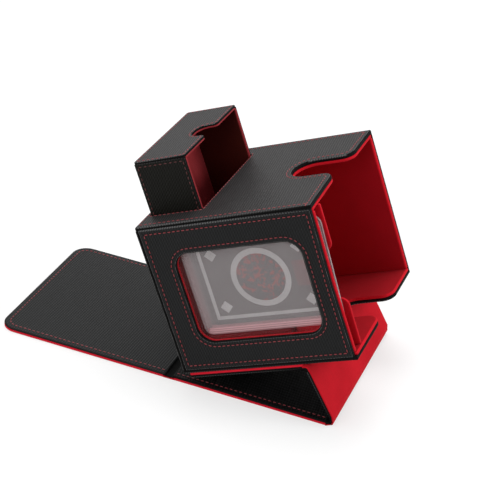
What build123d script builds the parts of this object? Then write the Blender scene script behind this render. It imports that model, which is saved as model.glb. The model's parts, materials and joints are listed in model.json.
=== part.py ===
"""Card storage box on its folding stand, with a dice drawer and a display window.

The box is a set of clad panels: grey board between a leather outside and a red
lining. It lies tilted on a stand folded from its own wrap-around cover, which is
a row of four panels: mount, prop, lid and flap.

Box directions: height runs from the bottom to the mouth, width from the right
wall to the left wall and depth from the window front to the back.
"""
import os
from math import asin, cos, radians, sin

from build123d import *

os.makedirs("parts", exist_ok=True)

# Driving sizes in millimetres and degrees

# Box
box_height = 128.0
box_width = 110.0
box_depth = 124.0
stand_tilt = 22.9

# Layers of a clad panel, from the outside in
leather = 0.8
board = 1.3
lining = 2.8
floor_lining = 1.4
edge_round_share = 0.7

# Window in the front wall
window_bottom_margin = 21.2
window_mouth_margin = 16.8
window_side_margin = 22.2
window_corner = 11.0
film = 0.5
film_lap = 4.0

# Thumb notches of the left and right walls
notch_width = 27.5
notch_depth = 37.5
notch_corner_share = 0.47
notch_lip = 8.5

# Card slot behind the window
slot_play = 0.3
partition_thick = 2.0
partition_drop = 0.8
partition_notch_width = 33.4
partition_notch_rise = 1.0
partition_notch_depth = 26.0
partition_notch_corner_share = 0.29
partition_lip = 6.0
rail_drop = 28.0
rail_thick = 5.2

# Clear card holder and the card in it
holder_front_thick = 3.0
holder_back_thick = 4.0
holder_corner = 4.0
holder_drop = 1.0
holder_play = 0.4
holder_end_rim = 8.5
holder_side_rim = 6.0
holder_edge_share = 0.3
card_height = 88.0
card_width = 63.0
card_thick = 0.8
card_corner = 3.0
card_play = 0.5
catch_length = 12.0
catch_width = 4.0
catch_thick = 1.5
catch_inset = 2.0

# Drawer bay under the deck
bay_height = 39.0
bay_front_margin = 4.5
bay_back_margin = 9.6
deck_floor_thick = 2.0
guide_thick = 2.0

# Drawer
drawer_play = 0.4
drawer_inner_gap = 0.6
drawer_pull = 38.0
drawer_leather = 0.6
drawer_board = 1.2
drawer_lining = 0.8
drawer_notch_width = 20.0
drawer_notch_depth = 13.0
drawer_notch_corner_share = 0.42
drawer_lip = 3.0

# Wrap-around cover
cover_overhang = 1.5
cover_lining = 1.0
mount_share = 0.6845
closing_gap = 0.4
fold_clearance = 0.3
flap_short = 0.5
flap_corner = 12.0
rest_clearance = 0.1

# Magnets in the left wall and in the flap
magnet_radius = 5.0
magnet_above_bottom = 66.0
magnet_spread = 56.0

# Cuts run past the faces by this much
overrun = 1.0

# Derived sizes

core = leather + board
wall = core + lining
floor = core + floor_lining
edge_round = leather * edge_round_share

holder_thick = holder_front_thick + holder_back_thick
holder_front = wall + slot_play
holder_split = holder_front + holder_front_thick
partition_front = holder_front + holder_thick + slot_play
deck_front = partition_front + partition_thick
deck_back = box_depth - wall
deck_center = (deck_front + deck_back) / 2
bay_top = floor + bay_height
bay_front = deck_front + bay_front_margin
bay_back = deck_back - bay_back_margin
deck_floor_top = bay_top + deck_floor_thick

holder_height = card_height + holder_end_rim + holder_end_rim
holder_width = card_width + holder_side_rim + holder_side_rim
holder_below_left = wall + rail_thick + holder_play
holder_above_right = box_width - holder_below_left - holder_width
holder_top = box_height - holder_drop
holder_bottom = holder_top - holder_height
holder_mid_height = (holder_top + holder_bottom) / 2
holder_mid_width = holder_above_right + holder_width / 2
stop_top = holder_bottom - holder_play
rail_top = box_height - rail_drop

drawer_wall = drawer_leather + drawer_board + drawer_lining
drawer_core = drawer_leather + drawer_board
drawer_low = floor + drawer_play
drawer_tall = bay_height - drawer_play - drawer_play
drawer_front = bay_front + drawer_play
drawer_deep = bay_back - bay_front - drawer_play - drawer_play
drawer_inner_end = wall + drawer_inner_gap + drawer_pull
drawer_outer_end = box_width + drawer_pull
tray_length = drawer_outer_end - drawer_wall - drawer_inner_end

mount_lining = cover_lining + closing_gap
cover = core + cover_lining
cover_depth = box_depth + cover_overhang + cover_overhang
fold_reach = core + mount_lining
fold_radius = leather
tongue_end = fold_radius + fold_clearance
fold_setback = cover + fold_clearance
strip_length = box_height + fold_reach
lid_length = box_width + fold_reach + fold_reach
flap_length = strip_length - flap_short

# Stand triangle: heel on the lid panel, stand fold above, lid fold on the table

tilt = radians(stand_tilt)
mount_length = strip_length * mount_share
prop_length = strip_length - mount_length
prop_slope = asin((mount_length * sin(tilt) + rest_clearance) / prop_length)
lid_fold_run = mount_length * cos(tilt) + prop_length * cos(prop_slope)
heel_setback = lid_length - lid_fold_run
heel_height = cover + rest_clearance
stand_right = box_height * cos(tilt) - fold_reach * sin(tilt)
stand_left = -heel_setback - flap_length
heel = Vector(-(stand_right + stand_left) / 2, -box_depth / 2, heel_height)

along_height = Vector(cos(tilt), 0, sin(tilt))
along_width = Vector(-sin(tilt), 0, cos(tilt))
along_depth = Vector(0, 1, 0)
along_prop = Vector(cos(prop_slope), 0, -sin(prop_slope))
along_table = Vector(-1, 0, 0)


def at(height, depth, width):
    """Point of the box, measured from the outer corner of bottom, front and right wall."""
    corner = heel + along_width * fold_reach
    return corner + along_height * height + along_depth * depth + along_width * width


def across_width(level):
    """Plane facing the left wall: x is height, y is depth."""
    return Plane(origin=at(0, 0, level), x_dir=along_height, z_dir=along_width)


def across_depth(level):
    """Plane facing the front: x is height, y is width."""
    return Plane(origin=at(0, level, 0), x_dir=along_height, z_dir=-along_depth)


def across_height(level):
    """Plane facing the mouth: x is depth, y is width."""
    return Plane(origin=at(level, 0, 0), x_dir=along_depth, z_dir=along_height)


def cover_plane(start, direction):
    """Leather face of a cover panel: x runs along the strip, z points to its lining."""
    edge = start - along_depth * cover_overhang
    return Plane(origin=edge, x_dir=direction, z_dir=direction.cross(along_depth))


def keep(piece, name):
    """Label a finished piece and write it."""
    piece.part.label = name
    export_step(piece.part, f"parts/{name}.step")


def block(low, high):
    """Add a box between two sets of height, depth and width to the current part."""
    with BuildSketch(across_width(low[2])) as footprint:
        plain_rectangle(low[0], high[0], low[1], high[1])
    extrude(footprint.sketch, amount=high[2] - low[2])


def plain_rectangle(x_low, x_high, y_low, y_high):
    """Rectangle between two corners in the current sketch."""
    with Locations((x_low, y_low)):
        Rectangle(x_high - x_low, y_high - y_low, align=(Align.MIN, Align.MIN))


def mouth_notch(edge, center, width, depth, corner_share, lip):
    """Cut a rounded finger notch into the edge at the far end of the current sketch."""
    with Locations((edge, center)):
        Rectangle(depth + depth, width, mode=Mode.SUBTRACT)
    deep = vertices().sort_by(lambda v: abs(v.X - edge + depth) + abs(abs(v.Y - center) - width / 2))
    fillet(deep[:2], radius=width * corner_share)
    lips = vertices().group_by(Axis.X)[-1].sort_by(lambda v: abs(v.Y - center))
    fillet(lips[:2], radius=lip)


def clad_panel(name, plane, inward, outline, cloth_outline, cloth_thick, magnets=(), tongues=(), recess=None):
    """Make the leather, board and lining of a panel whose leather face lies in the plane."""
    with BuildPart() as skin:
        with BuildSketch(plane):
            outline()
        extrude(amount=inward * core)
        outer = faces().sort_by(lambda f: abs(plane.to_local_coords(f.center()).Z))[0]
        fillet(outer.edges(), radius=edge_round)
        with BuildSketch(plane.offset(inward * leather)):
            outline()
            offset(amount=-leather, kind=Kind.INTERSECTION, mode=Mode.REPLACE)
        extrude(amount=inward * board, mode=Mode.SUBTRACT)
        for near, far in tongues:
            with BuildSketch(plane):
                plain_rectangle(near, far, 0, cover_depth)
            extrude(amount=inward * leather)
    keep(skin, f"{name}_leather")

    with BuildPart() as stiffener:
        with BuildSketch(plane.offset(inward * leather)):
            outline()
            offset(amount=-leather, kind=Kind.INTERSECTION, mode=Mode.REPLACE)
            for place in magnets:
                with Locations(place):
                    Circle(magnet_radius, mode=Mode.SUBTRACT)
        extrude(amount=inward * board)
    keep(stiffener, f"{name}_board")

    with BuildPart() as cloth:
        with BuildSketch(plane.offset(inward * core)):
            cloth_outline()
        extrude(amount=inward * cloth_thick)
        if recess:
            with BuildSketch(plane.offset(inward * core)):
                recess()
            extrude(amount=inward * film, mode=Mode.SUBTRACT)
    keep(cloth, f"{name}_lining")


def magnet_set(name, plane, inward, places):
    """Disc magnets that fill the holes of a panel's board."""
    with BuildPart() as discs:
        with BuildSketch(plane.offset(inward * leather)):
            with Locations(*places):
                Circle(magnet_radius)
        extrude(amount=inward * board)
    keep(discs, name)


# Five walls of the box: the outer shell closes at its edges, the linings meet inside it


def side_shape(margin):
    """Side wall with its thumb notch, set in from the closed edges by a margin."""
    plain_rectangle(margin, box_height, margin, box_depth - margin)
    mouth_notch(box_height, deck_center, notch_width, notch_depth, notch_corner_share, notch_lip)


def left_shape(margin):
    """Left wall, which also has the hole for the drawer."""
    side_shape(margin)
    with Locations((floor, bay_front)):
        Rectangle(bay_height, bay_back - bay_front, align=(Align.MIN, Align.MIN), mode=Mode.SUBTRACT)


def left_outline():
    left_shape(0)


def left_cloth():
    left_shape(core)


def right_outline():
    side_shape(0)


def right_cloth():
    side_shape(core)


def bottom_outline():
    plain_rectangle(0, box_depth, core, box_width - core)


def bottom_cloth():
    plain_rectangle(core, box_depth - core, wall, box_width - wall)


def back_outline():
    plain_rectangle(core, box_height, core, box_width - core)


def back_cloth():
    plain_rectangle(floor, box_height, wall, box_width - wall)


def window(margin, mode):
    """Rounded window shape in the current sketch, grown by a margin."""
    window_height = box_height - window_bottom_margin - window_mouth_margin
    window_width = box_width - window_side_margin - window_side_margin
    with Locations((window_bottom_margin + window_height / 2, box_width / 2)):
        RectangleRounded(
            window_height + margin + margin, window_width + margin + margin, window_corner + margin, mode=mode
        )


def front_outline():
    back_outline()
    window(0, Mode.SUBTRACT)


def front_cloth():
    back_cloth()
    window(0, Mode.SUBTRACT)


def film_outline():
    window(film_lap, Mode.ADD)


wall_magnets = [
    (magnet_above_bottom, deck_center - magnet_spread / 2),
    (magnet_above_bottom, deck_center + magnet_spread / 2),
]
clad_panel("left_wall", across_width(box_width), -1, left_outline, left_cloth, lining, magnets=wall_magnets)
clad_panel("right_wall", across_width(0), 1, right_outline, right_cloth, lining)
clad_panel("bottom_wall", across_height(0), 1, bottom_outline, bottom_cloth, floor_lining)
clad_panel("front_wall", across_depth(0), -1, front_outline, front_cloth, lining, recess=film_outline)
clad_panel("back_wall", across_depth(box_depth), 1, back_outline, back_cloth, lining)
magnet_set("wall_magnets", across_width(box_width), -1, wall_magnets)

with BuildPart() as window_film:
    with BuildSketch(across_depth(core)):
        film_outline()
    extrude(amount=-film)
keep(window_film, "window_film")

# Partition, deck floor and drawer guides

with BuildPart() as partition:
    with BuildSketch(across_depth(partition_front)):
        plain_rectangle(floor, box_height - partition_drop, wall, box_width - wall)
        mouth_notch(
            box_height - partition_drop, box_width / 2 + partition_notch_rise, partition_notch_width,
            partition_notch_depth, partition_notch_corner_share, partition_lip,
        )
    extrude(amount=-partition_thick)
keep(partition, "partition")

with BuildPart() as deck_floor:
    block((bay_top, deck_front, wall), (deck_floor_top, deck_back, box_width - wall))
keep(deck_floor, "deck_floor")

with BuildPart() as front_guide:
    block((floor, bay_front - guide_thick, wall), (bay_top, bay_front, box_width - wall))
keep(front_guide, "drawer_guide_front")

with BuildPart() as back_guide:
    block((floor, bay_back, wall), (bay_top, bay_back + guide_thick, box_width - wall))
keep(back_guide, "drawer_guide_back")

# Stop and rails that hold the card holder in its slot

with BuildPart() as slot_stop:
    block((floor, wall, wall), (stop_top, partition_front, box_width - wall))
keep(slot_stop, "slot_stop")

lower_rail_top = holder_above_right - holder_play

with BuildPart() as lower_rail:
    block((stop_top, wall, lower_rail_top - rail_thick), (rail_top, partition_front, lower_rail_top))
keep(lower_rail, "slot_rail_lower")

with BuildPart() as upper_rail:
    block(
        (stop_top, wall, box_width - wall - rail_thick),
        (rail_top, partition_front, box_width - wall),
    )
keep(upper_rail, "slot_rail_upper")

# Clear holder: two halves closed by a magnet and its keeper round a display card

catch_mid = holder_top - catch_inset - catch_width / 2


def holder_outline():
    with Locations((holder_mid_height, holder_mid_width)):
        RectangleRounded(holder_height, holder_width, holder_corner)


def catch_outline():
    with Locations((catch_mid, holder_mid_width)):
        Rectangle(catch_width, catch_length)


def card_outline(margin):
    with Locations((holder_mid_height, holder_mid_width)):
        RectangleRounded(card_height + margin + margin, card_width + margin + margin, card_corner + margin)


def holder_half(name, split, toward, thick, bed):
    """One half of the holder, from the split outwards, with its catch pocket and its card bed."""
    with BuildPart() as half:
        with BuildSketch(across_depth(split)):
            holder_outline()
        extrude(amount=toward * thick)
        outer = faces().sort_by(Axis.Y)[0 if toward > 0 else -1]
        fillet(outer.edges(), radius=holder_back_thick * holder_edge_share)
        with BuildSketch(across_depth(split)):
            catch_outline()
        extrude(amount=toward * catch_thick, mode=Mode.SUBTRACT)
        if bed:
            with BuildSketch(across_depth(split)):
                card_outline(card_play)
            extrude(amount=toward * bed, mode=Mode.SUBTRACT)
    keep(half, name)


holder_half("holder_front", holder_split, 1, holder_front_thick, 0)
holder_half("holder_back", holder_split, -1, holder_back_thick, card_thick)

for name, toward in (("holder_keeper", 1), ("holder_magnet", -1)):
    with BuildPart() as catch:
        with BuildSketch(across_depth(holder_split)):
            catch_outline()
        extrude(amount=toward * catch_thick)
    keep(catch, name)

with BuildPart() as display_card:
    with BuildSketch(across_depth(holder_split)):
        card_outline(0)
    extrude(amount=-card_thick)
keep(display_card, "display_card")

# Drawer: a clad end wall with a finger notch and a clad tray behind it

drawer_center = drawer_front + drawer_deep / 2
drawer_high = drawer_low + drawer_tall


def drawer_end_outline():
    plain_rectangle(drawer_low, drawer_high, drawer_front, drawer_front + drawer_deep)
    mouth_notch(
        drawer_high, drawer_center, drawer_notch_width, drawer_notch_depth, drawer_notch_corner_share, drawer_lip
    )


def tray_block(inset, drop, mode):
    """Tray-shaped block, set in from the tray's outside and reaching up to a drop below its rim."""
    with BuildSketch(across_width(drawer_inner_end + inset)) as footprint:
        plain_rectangle(
            drawer_low + inset, drawer_high - drop, drawer_front + inset, drawer_front + drawer_deep - inset
        )
    extrude(footprint.sketch, amount=tray_length - inset, mode=mode)


def tray_hollow(inset):
    """Cut the room inside a tray wall, through the open rim."""
    tray_block(inset, -overrun, Mode.SUBTRACT)


end_plane = across_width(drawer_outer_end)
with BuildPart() as end_leather:
    with BuildSketch(end_plane):
        drawer_end_outline()
    extrude(amount=-drawer_core)
    end_face = faces().sort_by(lambda f: abs(end_plane.to_local_coords(f.center()).Z))[0]
    fillet(end_face.edges(), radius=drawer_leather * edge_round_share)
    with BuildSketch(end_plane.offset(-drawer_leather)):
        drawer_end_outline()
        offset(amount=-drawer_leather, kind=Kind.INTERSECTION, mode=Mode.REPLACE)
    extrude(amount=-drawer_board, mode=Mode.SUBTRACT)
keep(end_leather, "drawer_end_leather")

with BuildPart() as end_board:
    with BuildSketch(end_plane.offset(-drawer_leather)):
        drawer_end_outline()
        offset(amount=-drawer_leather, kind=Kind.INTERSECTION, mode=Mode.REPLACE)
    extrude(amount=-drawer_board)
keep(end_board, "drawer_end_board")

with BuildPart() as end_lining:
    with BuildSketch(end_plane.offset(-drawer_core)):
        drawer_end_outline()
    extrude(amount=-drawer_lining)
keep(end_lining, "drawer_end_lining")

with BuildPart() as tray_board:
    tray_block(drawer_leather, drawer_leather, Mode.ADD)
    tray_hollow(drawer_core)
keep(tray_board, "drawer_tray_board")

with BuildPart() as tray_leather:
    tray_block(0, 0, Mode.ADD)
    tray_hollow(drawer_core)
    add(tray_board.part, mode=Mode.SUBTRACT)
keep(tray_leather, "drawer_tray_leather")

with BuildPart() as tray_lining:
    tray_block(drawer_core, 0, Mode.ADD)
    tray_hollow(drawer_wall)
keep(tray_lining, "drawer_tray_lining")

# Cover: mount, prop, lid and flap, joined by three folds

stand_fold_start = heel + along_height * mount_length
lid_fold_start = heel + Vector(lid_fold_run, 0, -rest_clearance)
flap_fold_start = heel + Vector(-heel_setback, 0, -rest_clearance)

mount_plane = cover_plane(heel, along_height)
prop_plane = cover_plane(stand_fold_start, along_prop)
lid_plane = cover_plane(lid_fold_start, along_table)
flap_plane = cover_plane(flap_fold_start, along_table)
prop_end = prop_length - fold_setback
lid_end = lid_length - fold_setback


def mount_outline():
    plain_rectangle(0, mount_length - tongue_end, 0, cover_depth)


def prop_outline():
    plain_rectangle(tongue_end, prop_end, 0, cover_depth)


def lid_outline():
    plain_rectangle(fold_setback, lid_end, 0, cover_depth)


def flap_outline():
    plain_rectangle(fold_setback, flap_length, 0, cover_depth)
    fillet(vertices().group_by(Axis.X)[-1], radius=flap_corner)


near_tongue = (tongue_end, fold_setback + leather)
prop_tongues = [(prop_end - leather, prop_length - tongue_end)]
lid_tongues = [near_tongue, (lid_end - leather, lid_length - tongue_end)]
flap_tongues = [near_tongue]
flap_magnet_run = strip_length - magnet_above_bottom
flap_magnets = [
    (flap_magnet_run, deck_center + cover_overhang - magnet_spread / 2),
    (flap_magnet_run, deck_center + cover_overhang + magnet_spread / 2),
]

clad_panel("mount", mount_plane, 1, mount_outline, mount_outline, mount_lining)
clad_panel("prop", prop_plane, 1, prop_outline, prop_outline, cover_lining, tongues=prop_tongues)
clad_panel("lid", lid_plane, 1, lid_outline, lid_outline, cover_lining, tongues=lid_tongues)
clad_panel(
    "flap", flap_plane, 1, flap_outline, flap_outline, cover_lining, magnets=flap_magnets, tongues=flap_tongues
)
magnet_set("flap_magnets", flap_plane, 1, flap_magnets)

for name, plane in (("stand_fold", prop_plane), ("lid_fold", lid_plane), ("flap_fold", flap_plane)):
    with BuildPart() as fold:
        with BuildSketch(Plane(origin=plane.origin, x_dir=plane.x_dir, z_dir=along_depth)):
            Circle(fold_radius)
        extrude(amount=cover_depth)
    keep(fold, name)

for name, point in (("stand_fold", stand_fold_start), ("lid_fold", lid_fold_start), ("flap_fold", flap_fold_start)):
    print(name, "axis through", [round(value, 3) for value in (point.X, point.Y, point.Z)])
print("prop slope", round(prop_slope / radians(1), 3), "degrees")
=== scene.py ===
# %% [markdown]
# # A card box on its folding stand
# This lesson dresses a card box in leather, suede and thread. The construction is already there as
# a frame of plain solids with joints. Every piece made here takes its size and place from it.

# %% Load the frame
import json
from math import atan2, ceil, cos, pi, radians, sin, sqrt

import bmesh
import bpy
from mathutils import Matrix, Vector
from mathutils.geometry import tessellate_polygon

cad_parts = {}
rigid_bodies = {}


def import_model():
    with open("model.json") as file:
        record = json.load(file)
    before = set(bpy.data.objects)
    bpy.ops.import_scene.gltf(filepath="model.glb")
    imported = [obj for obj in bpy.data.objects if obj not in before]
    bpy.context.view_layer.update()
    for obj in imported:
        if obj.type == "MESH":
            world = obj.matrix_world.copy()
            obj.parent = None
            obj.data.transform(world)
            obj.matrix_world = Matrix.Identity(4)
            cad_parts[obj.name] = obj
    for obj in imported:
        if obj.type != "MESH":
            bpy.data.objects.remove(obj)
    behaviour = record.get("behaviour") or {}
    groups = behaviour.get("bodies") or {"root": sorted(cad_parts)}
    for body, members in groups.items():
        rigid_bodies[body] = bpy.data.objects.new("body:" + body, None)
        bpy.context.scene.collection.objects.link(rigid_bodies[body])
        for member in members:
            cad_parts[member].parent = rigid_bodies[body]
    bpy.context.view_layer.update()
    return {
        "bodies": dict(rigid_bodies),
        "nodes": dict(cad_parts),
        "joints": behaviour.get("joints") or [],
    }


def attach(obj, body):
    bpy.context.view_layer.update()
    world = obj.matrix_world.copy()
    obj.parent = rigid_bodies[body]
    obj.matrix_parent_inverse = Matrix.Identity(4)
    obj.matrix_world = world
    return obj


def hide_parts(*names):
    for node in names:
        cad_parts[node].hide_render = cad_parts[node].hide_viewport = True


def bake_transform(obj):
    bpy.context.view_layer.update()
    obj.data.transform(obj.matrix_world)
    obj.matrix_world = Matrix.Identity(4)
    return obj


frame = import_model()
nodes = frame["nodes"]
joints = {joint["name"]: joint for joint in frame["joints"]}

# %% [markdown]
# The box lies tilted, so its own directions are more useful than X, Y and Z. They could be typed as
# angles, but the slides already know them: the drawer comes out along the box's width and the card
# holder along its height.

# %% Directions of the box and of the cover
MM = 0.001
DEPTH = Vector((0, 1, 0))
UP = Vector((0, 0, 1))
WIDTH = -Vector(joints["drawer_slide"]["axis"])
HEIGHT = -Vector(joints["card_holder_slide"]["axis"])
stand_point, lid_point, flap_point = (
    Vector(joints[name]["pos_m"]) for name in ("stand_fold", "lid_fold", "flap_fold")
)
PROP = (lid_point - stand_point).normalized()
PROP_LINING = PROP.cross(DEPTH)
TABLE = Vector((-1, 0, 0))


def span(node, direction):
    """Lowest and highest place of a frame node along a direction."""
    places = [vertex.co.dot(direction) for vertex in nodes[node].data.vertices]
    return min(places), max(places)


print("tilt", round(atan2(HEIGHT.z, HEIGHT.x) / radians(1), 2), "degrees")

# %% [markdown]
# The camera comes early, because each piece is judged through it. Its angles were fitted to the
# corners of the box, and a long lens keeps the box's edges nearly parallel.

# %% Camera
view_azimuth = radians(-18.23)
view_elevation = radians(30.11)
view_roll = radians(5.65)
view_distance = 986.4 * MM
view_lens = 106.6
view_target = Vector((36.9, -22.4, 90.9)) * MM


def show(item):
    """Put an object into the scene."""
    bpy.context.scene.collection.objects.link(item)
    return item


look = Vector((
    sin(view_azimuth) * cos(view_elevation),
    cos(view_azimuth) * cos(view_elevation),
    -sin(view_elevation),
))
level_right = Vector((cos(view_azimuth), -sin(view_azimuth), 0))
level_up = level_right.cross(look)
right = level_right * cos(view_roll) + level_up * sin(view_roll)
upright = level_up * cos(view_roll) - level_right * sin(view_roll)

camera_data = bpy.data.cameras.new("camera")
camera_data.lens = view_lens
camera = show(bpy.data.objects.new("camera", camera_data))
turn = Matrix((right, upright, -look)).transposed().to_4x4()
camera.matrix_world = Matrix.Translation(view_target - look * view_distance) @ turn
bpy.context.scene.camera = camera
print("camera at", [round(value, 3) for value in camera.matrix_world.translation])

# %% [markdown]
# Finishes, the sky and the stitches are all node trees. Adding nodes by hand takes many lines, so two
# small classes do it. A Wire is a node's output that can be added, multiplied and so on, and a Tree
# has one method that adds any node.


# %% Node trees
class Wire:
    """A node's output. Its arithmetic adds Math nodes to the same tree."""

    def __init__(self, tree, socket):
        self.tree = tree
        self.socket = socket

    def math(self, operation, *values):
        return self.tree.add("ShaderNodeMath", {"operation": operation}, dict(enumerate(values)), 0)

    def apply(self, operation, *values):
        return self.math(operation, self, *values)

    def output(self, name):
        """Another output of the same node."""
        return Wire(self.tree, self.socket.node.outputs[name])

    def __add__(self, other):
        return self.apply("ADD", other)

    def __sub__(self, other):
        return self.apply("SUBTRACT", other)

    def __rsub__(self, other):
        return self.math("SUBTRACT", other, self)

    def __mul__(self, other):
        return self.apply("MULTIPLY", other)

    __radd__ = __add__
    __rmul__ = __mul__


class Tree:
    """A node tree and the one method that adds its nodes."""

    def __init__(self, tree):
        self.tree = tree
        tree.nodes.clear()

    def find(self, sockets, key):
        if isinstance(key, int):
            return sockets[key]
        return next(s for s in sockets if key in (s.identifier, s.name))

    def add(self, kind, settings, sockets, out=None):
        """Add a node, set it up, fill its sockets with values or wires and return one output."""
        node = self.tree.nodes.new(kind)
        for key, value in settings.items():
            setattr(node, key, value)
        for key, value in sockets.items():
            socket = self.find(node.inputs, key)
            if isinstance(value, Wire):
                self.tree.links.new(value.socket, socket)
            else:
                socket.default_value = value
        return None if out is None else Wire(self, self.find(node.outputs, out))


# %% [markdown]
# A Finish is the tree of a material. Its methods are short names for what most finishes here need: a
# place on the object, noise, a mix of two colours and a bump.


# %% Materials
class Finish(Tree):
    """The node tree of a material."""

    def __init__(self, name):
        self.material = bpy.data.materials.new(name)
        self.material.use_nodes = True
        super().__init__(self.material.node_tree)

    def place(self):
        return self.add("ShaderNodeTexCoord", {}, {}, "Object")

    def rim(self):
        """How far a point lies round a panel's edge, from 0 on the face to 1 on the side."""
        return self.add("ShaderNodeAttribute", {"attribute_name": "rim"}, {}, "Fac")

    def noise(self, place, scale, detail):
        """Soft patches, as many to a metre as the scale says."""
        sockets = {"Vector": place, "Scale": scale, "Detail": detail}
        return self.add("ShaderNodeTexNoise", {}, sockets, "Fac")

    def mix(self, factor, low, high):
        """Colour between two colours."""
        sockets = {"Factor_Float": factor, "A_Color": low, "B_Color": high}
        return self.add("ShaderNodeMix", {"data_type": "RGBA"}, sockets, "Result_Color")

    def bump(self, height, strength, distance):
        sockets = {"Height": height, "Strength": strength, "Distance": distance}
        return self.add("ShaderNodeBump", {}, sockets, "Normal")

    def surface(self, sockets):
        """Principled surface to the output, which ends the tree."""
        return self.end(self.add("ShaderNodeBsdfPrincipled", {}, sockets, "BSDF"))

    def end(self, shader):
        self.add("ShaderNodeOutputMaterial", {}, {"Surface": shader})
        return self.material


def grey(value):
    return (value, value, value, 1)


# %% [markdown]
# The leather has a pressed grain of fine crossing grooves, so each panel shows small lozenges that
# run diagonally. An image would be one way, but two families of waves on the panel's own UV map,
# which is in metres, give the grain at its true size on every panel. Round each panel's rolled edge
# the colour goes black, as painted shade on the edges and in the grooves between panels, and the
# grain just inside it gets a painted highlight.

# %% Leather with a crossed grain
cross_ribs = ((540, 70), (420, -430))
flap_ribs = ((560, -20), (350, 470))
cool_tint = (1, 1.05, 1.1)
tone_range = (0.25, 2.0)
wander_scale = 60
fleck_scale = 2600
grain_height = 0.4 * MM
black_and_edge_shade = grey(0.0015)
edge_light = grey(0.16)


def leather_finish(name, shade, gloss, ribs=cross_ribs, crossing=0.4, relief=0.8, edge=0, tint=cool_tint):
    """Pressed leather. The ribs are two pairs of waves per metre along the panel's U and V."""
    finish = Finish(name)
    uv = finish.add("ShaderNodeTexCoord", {}, {}, "UV")
    u = finish.add("ShaderNodeSeparateXYZ", {}, {"Vector": uv}, "X")
    v = u.output("Y")
    wander = finish.noise(uv, wander_scale, 2)
    fleck = finish.noise(uv, fleck_scale, 2)
    first, second = (
        ((u * (2 * pi * along_u) + v * (2 * pi * along_v) + wander * 3).apply("SINE") + 1) * 0.5
        for along_u, along_v in ribs
    )
    grain = first * (1 - crossing) + second * crossing
    tone = grain * relief + wander * 0.4 + fleck * 0.3 + 0.15 - relief / 2
    # Painted shade turns the rim black, and a painted highlight lies on the grain just inside it.
    rim = finish.rim()
    turned = rim * rim
    painted_edge_highlight = rim * (1 - rim) * (4 * edge) * grain
    low, high = ((*(shade * level * part for part in tint), 1) for level in tone_range)
    wrapped = finish.mix(turned, finish.mix(tone, low, high), black_and_edge_shade)
    return finish.surface({
        "Base Color": finish.mix(painted_edge_highlight, wrapped, edge_light),
        "Roughness": 0.58 - grain * 0.22 + wander * 0.06 + turned * 0.25,
        "Specular IOR Level": gloss,
        "Normal": finish.bump(grain + fleck * 0.4, relief, grain_height),
    })


leather = leather_finish("crossed_leather", 0.0225, 0.08, relief=0.45, edge=0.9, tint=(1.04, 1, 1.01))
# The front wall's leather is a darker copy of the same leather: painted shade on the front face.
front_leather = leather_finish("front_leather", 0.0056, 0.14, edge=1.0)
flap_leather = leather_finish("flap_leather", 0.0050, 0.13, flap_ribs, crossing=0.3, relief=0.5)
# The lid's leather is darker still: a painted shadow where the box shades the lid.
lid_leather = leather_finish("lid_leather", 0.003, 0.08)
drawer_leather = leather_finish("drawer_leather", 0.004, 0.1, edge=0.4, tint=(1.05, 1, 0.7))
print("materials so far", len(bpy.data.materials))

# %% [markdown]
# At a fold the same leather is stretched smooth and only its pores show. Suede is the opposite: a
# soft nap that scatters light, so it is rough, with a sheen and with faint brushed patches. Deep
# walls get little light, so their suede is dimmer on the face than on the rim.

# %% Fold leather and suede
pore_height = 0.1 * MM
nap_height = 0.18 * MM
sheen_tint = (1.0, 0.35, 0.38, 1)


def fold_finish():
    finish = Finish("fold_leather")
    place = finish.place()
    pores = finish.noise(place, 2400, 3)
    patch = finish.noise(place, 120, 2)
    return finish.surface({
        "Base Color": finish.mix(patch, black_and_edge_shade, grey(0.004)),
        "Roughness": 0.6 + pores * 0.25,
        "Specular IOR Level": 0.05,
        "Normal": finish.bump(pores, 0.3, pore_height),
    })


def suede_finish(name, dark, bright, face=1):
    """Suede from dark to bright. Its flat face can be dimmer than its rim by a share."""
    finish = Finish(name)
    place = finish.place()
    nap = finish.noise(place, 1300, 4)
    brushed = finish.noise(place, 70, 3)
    tone = nap * 0.55 + brushed * 0.45
    dim_dark, dim_bright = ((*(part * face for part in colour[:3]), 1) for colour in (dark, bright))
    on_face = finish.mix(tone, dim_dark, dim_bright)
    on_rim = finish.mix(tone, dark, bright)
    return finish.surface({
        "Base Color": finish.mix(finish.rim(), on_face, on_rim),
        "Roughness": 0.82 + nap * 0.15,
        "Specular IOR Level": 0.1,
        "Sheen Weight": 0.08,
        "Sheen Roughness": 0.45,
        "Sheen Tint": sheen_tint,
        "Normal": finish.bump(nap, 0.45, nap_height),
    })


lining_reds = ((0.42, 0.004, 0.010, 1), (0.74, 0.010, 0.024, 1))
fold_leather = fold_finish()
suede = suede_finish("red_suede", *lining_reds)
shaded_suede = suede_finish("shaded_suede", *lining_reds, face=0.62)
# A brighter copy of the lining for the cover's rims: painted light on rims that face away from the lamps.
lit_rim_suede = suede_finish("lit_rim_suede", (0.60, 0.008, 0.022, 1), (0.95, 0.020, 0.045, 1))
# A dark copy of the suede: painted shade deep inside the card's slot.
shaded_slot_suede = suede_finish("shaded_slot_suede", (0.06, 0.002, 0.003, 1), (0.24, 0.006, 0.010, 1))
drawer_suede = suede_finish("maroon_suede", (0.22, 0.016, 0.020, 1), (0.40, 0.045, 0.052, 1))
# A sheet of this dim suede paints the shade on two inner walls of the drawer.
painted_shade_suede = suede_finish("painted_shade_suede", (0.045, 0.006, 0.004, 1), (0.09, 0.013, 0.008, 1))
print("materials so far", len(bpy.data.materials))

# %% [markdown]
# Thread, film and steel are simple: one noise varies their colour and their roughness. The thread has
# two shades: the rows on the drawer's sides take a darker one, which paints the shade on those sides.
# The window film could refract light, which is slow and noisy, so it is a see-through sheet instead,
# with a faint veil that paints the film's haze together with its reflection of the bright room.

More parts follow.
